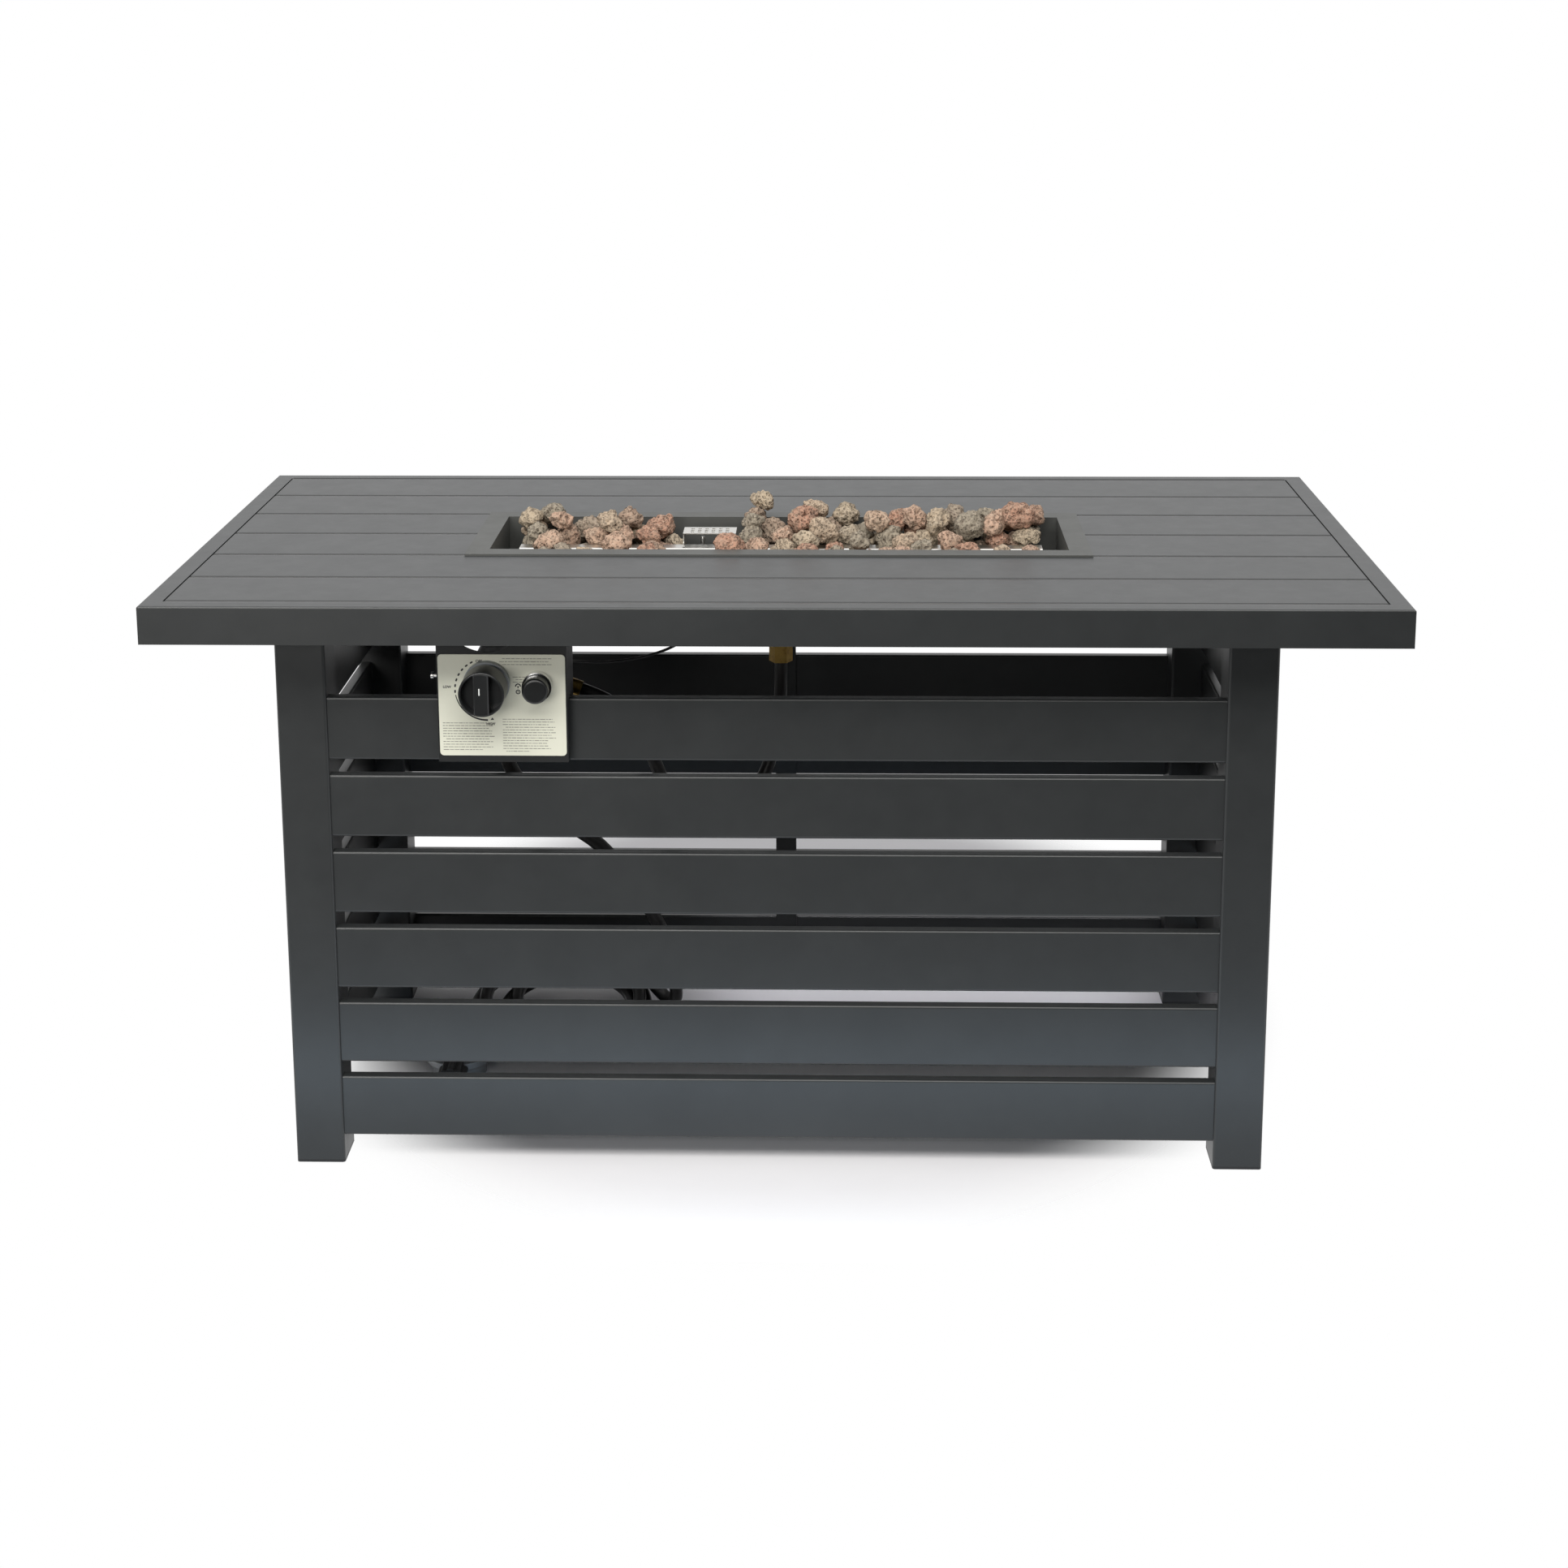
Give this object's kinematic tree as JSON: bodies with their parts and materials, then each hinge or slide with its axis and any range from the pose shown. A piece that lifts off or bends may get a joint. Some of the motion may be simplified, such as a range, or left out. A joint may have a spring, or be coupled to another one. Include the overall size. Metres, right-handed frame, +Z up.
{
  "type": "gas fire pit table",
  "caption": "Rectangular gas fire pit table: plank top, slatted metal base, linear burner in a pan of lava rocks, push-and-turn gas knob, push-button igniter and a coiled supply hose.",
  "frame": {"origin": "on the ground under the middle of the table", "axes": "+X to the right of someone who faces the control plate, +Y to the back of the table, +Z up"},
  "size_m": [1.219, 0.61, 0.6469],
  "materials": {
    "frame_paint": "dark grey powder coat, fine grain",
    "pan_paint": "black heat-resistant paint",
    "plate_paint": "cream enamel with printed dial marks",
    "stainless": "bright stainless steel",
    "zinc_steel": "zinc-plated steel",
    "bright_trim": "bright plated trim",
    "brass": "plain brass",
    "cast_alloy": "die-cast alloy",
    "ceramic": "white ceramic with a wire tip",
    "lava_rock": "porous brown and grey lava rock",
    "knob_plastic": "black moulded plastic",
    "grey_plastic": "grey moulded plastic",
    "black_plastic": "black moulded plastic",
    "hose_rubber": "black rubber",
    "lead_jacket": "black silicone jacket",
    "copper_lead": "copper capillary"
  },
  "bodies": {
    "table": {"box_screw": "zinc_steel", "burner_feed_hose": "hose_rubber", "burner_inlet": "zinc_steel", "burner_pan": "pan_paint", "burner_tube": "stainless", "control_box": "pan_paint", "control_plate": "plate_paint", "feed_nut": "brass", "flame_sensor": "zinc_steel", "foot_caps": "black_plastic", "front_slat_1_left": "frame_paint", "front_slat_1_right": "frame_paint", "front_slat_2": "frame_paint", "front_slat_3": "frame_paint", "front_slat_4": "frame_paint", "front_slat_5": "frame_paint", "front_slat_6": "frame_paint", "igniter_barrel": "black_plastic", "igniter_collar": "bright_trim", "ignition_hood": "stainless", "ignition_lead": "lead_jacket", "knob_collar": "grey_plastic", "lava_rocks": "lava_rock", "left_slats": "frame_paint", "leg_bearers": "frame_paint", "leg_bolts": "zinc_steel", "leg_front_left": "frame_paint", "leg_front_right": "frame_paint", "leg_rear_left": "frame_paint", "leg_rear_right": "frame_paint", "outlet_fitting": "brass", "pan_bearers": "frame_paint", "rear_slats": "frame_paint", "rear_strap": "frame_paint", "regulator_body": "cast_alloy", "right_slats": "frame_paint", "sensor_lead": "copper_lead", "spark_electrode": "ceramic", "supply_fitting": "brass", "supply_hose_coil": "hose_rubber", "supply_hose_drop": "hose_rubber", "supply_hose_tail": "hose_rubber", "top_plank_1": "frame_paint", "top_plank_2": "frame_paint", "top_plank_3_left": "frame_paint", "top_plank_3_right": "frame_paint", "top_plank_4_left": "frame_paint", "top_plank_4_right": "frame_paint", "top_plank_5": "frame_paint", "top_plank_6": "frame_paint", "top_rail_front": "frame_paint", "top_rail_left": "frame_paint", "top_rail_rear": "frame_paint", "top_rail_right": "frame_paint", "valve_body": "cast_alloy"},
    "spindle": {"valve_spindle": "zinc_steel"},
    "knob": {"control_knob": "knob_plastic", "knob_skirt": "knob_plastic"},
    "igniter": {"igniter_button": "knob_plastic"},
    "hand_nut": {"regulator_nut": "black_plastic"}
  },
  "joints": [
    {"name": "knob_push", "type": "slide", "parent": "table", "child": "spindle", "axis": [0, 1, 0], "range_m": [0, 0.005], "stiffness_N_per_m": 2000},
    {"name": "knob_turn", "type": "hinge", "parent": "spindle", "child": "knob", "pos_m": [-0.284, -0.265, 0.52], "axis": [0, -1, 0], "range_deg": [0, 195]},
    {"name": "igniter_press", "type": "slide", "parent": "table", "child": "igniter", "axis": [0, 1, 0], "range_m": [0, 0.004], "stiffness_N_per_m": 3000},
    {"name": "hand_nut_spin", "type": "hinge", "parent": "table", "child": "hand_nut", "pos_m": [-0.361, -0.07, 0.017], "axis": [0, -1, 0], "continuous": true}
  ]
}
